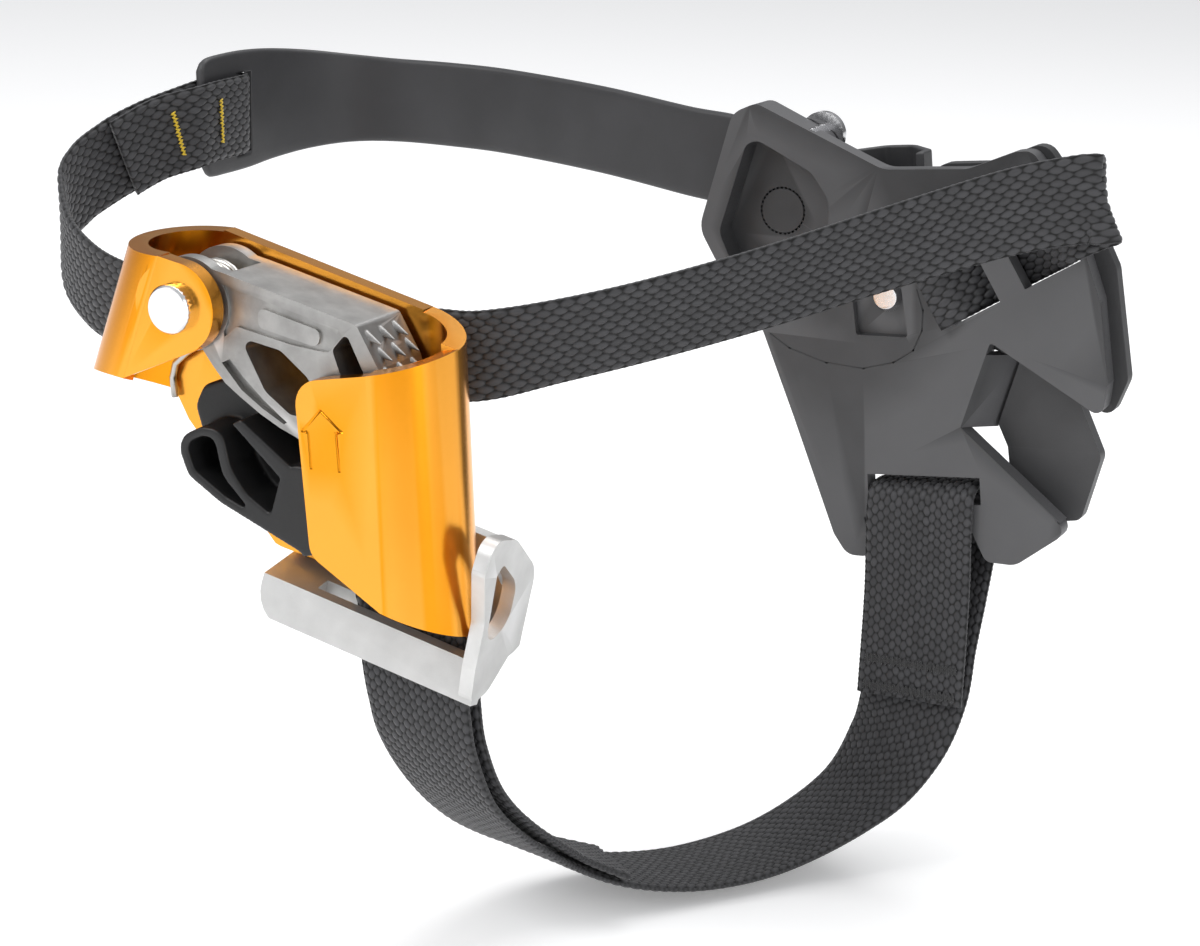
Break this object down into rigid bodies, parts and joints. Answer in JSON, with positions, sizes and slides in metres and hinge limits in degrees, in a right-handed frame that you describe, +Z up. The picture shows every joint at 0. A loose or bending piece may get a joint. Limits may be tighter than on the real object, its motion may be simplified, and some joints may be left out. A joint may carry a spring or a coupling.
{
  "type": "foot-mounted rope ascender",
  "caption": "Foot-mounted rope ascender: bent metal frame with a sprung toothed cam and a catch, held to the boot by a sole strap, an instep strap, a side plate and a heel band.",
  "frame": {"origin": "inside the ring that goes round the ankle, level with the cam's axle; the boot stands here", "axes": "+X from heel to toe, +Y from the inner side of the foot (frame and cam) to the outer side (side plate), +Z up"},
  "size_m": [0.1888, 0.1254, 0.1388],
  "materials": {
    "frame_shell": "orange anodised sheet, satin",
    "axle_pin": "polished rivet",
    "axle_washer": "plain",
    "cam_spring": "drawn wire",
    "cam": "cast, satin grey plating",
    "cam_bushing": "turned",
    "catch_pin": "ground",
    "safety_catch": "moulded nylon",
    "catch_spring": "drawn wire",
    "strap_bracket": "bead blasted",
    "bracket_rivets": "polished",
    "sole_strap": "plain woven polyester webbing",
    "sole_stitching": "bar tack thread",
    "upper_strap": "tubular woven webbing with floats",
    "bar_tacks": "yellow bar tack thread",
    "heel_band": "moulded elastomer",
    "band_loop": "moulded elastomer",
    "side_plate": "moulded nylon, fine texture",
    "side_plate_backing": "moulded nylon",
    "hook_tongue": "moulded nylon",
    "band_rivets": "polished",
    "rivet_washers": "plain"
  },
  "bodies": {
    "chassis": {"frame_shell": "frame_shell", "axle_pin": "axle_pin", "axle_washer": "axle_washer", "cam_spring": "cam_spring", "strap_bracket": "strap_bracket", "bracket_rivets": "bracket_rivets", "sole_strap": "sole_strap", "sole_stitching": "sole_stitching", "upper_strap": "upper_strap", "bar_tacks": "bar_tacks", "heel_band": "heel_band", "band_loop": "band_loop", "side_plate": "side_plate", "side_plate_backing": "side_plate_backing", "hook_tongue": "hook_tongue", "band_rivets": "band_rivets", "rivet_washers": "rivet_washers"},
    "cam_body": {"cam": "cam", "cam_bushing": "cam_bushing", "catch_pin": "catch_pin", "catch_spring": "catch_spring"},
    "catch_body": {"safety_catch": "safety_catch"}
  },
  "joints": [
    {"name": "cam_pivot", "type": "hinge", "parent": "chassis", "child": "cam_body", "pos_m": [-0.02, -0.06, 0], "axis": [0, 1, 0], "range_deg": [0, 18], "stiffness_Nm_per_rad": 0.04, "springref_deg": -68.75, "deforming": ["cam_spring"]},
    {"name": "catch_pivot", "type": "hinge", "parent": "cam_body", "child": "catch_body", "pos_m": [0.006, -0.052, -0.0276], "axis": [0, -1, 0], "range_deg": [0, 12], "stiffness_Nm_per_rad": 0.015, "springref_deg": -34.38, "deforming": ["catch_spring"]}
  ]
}
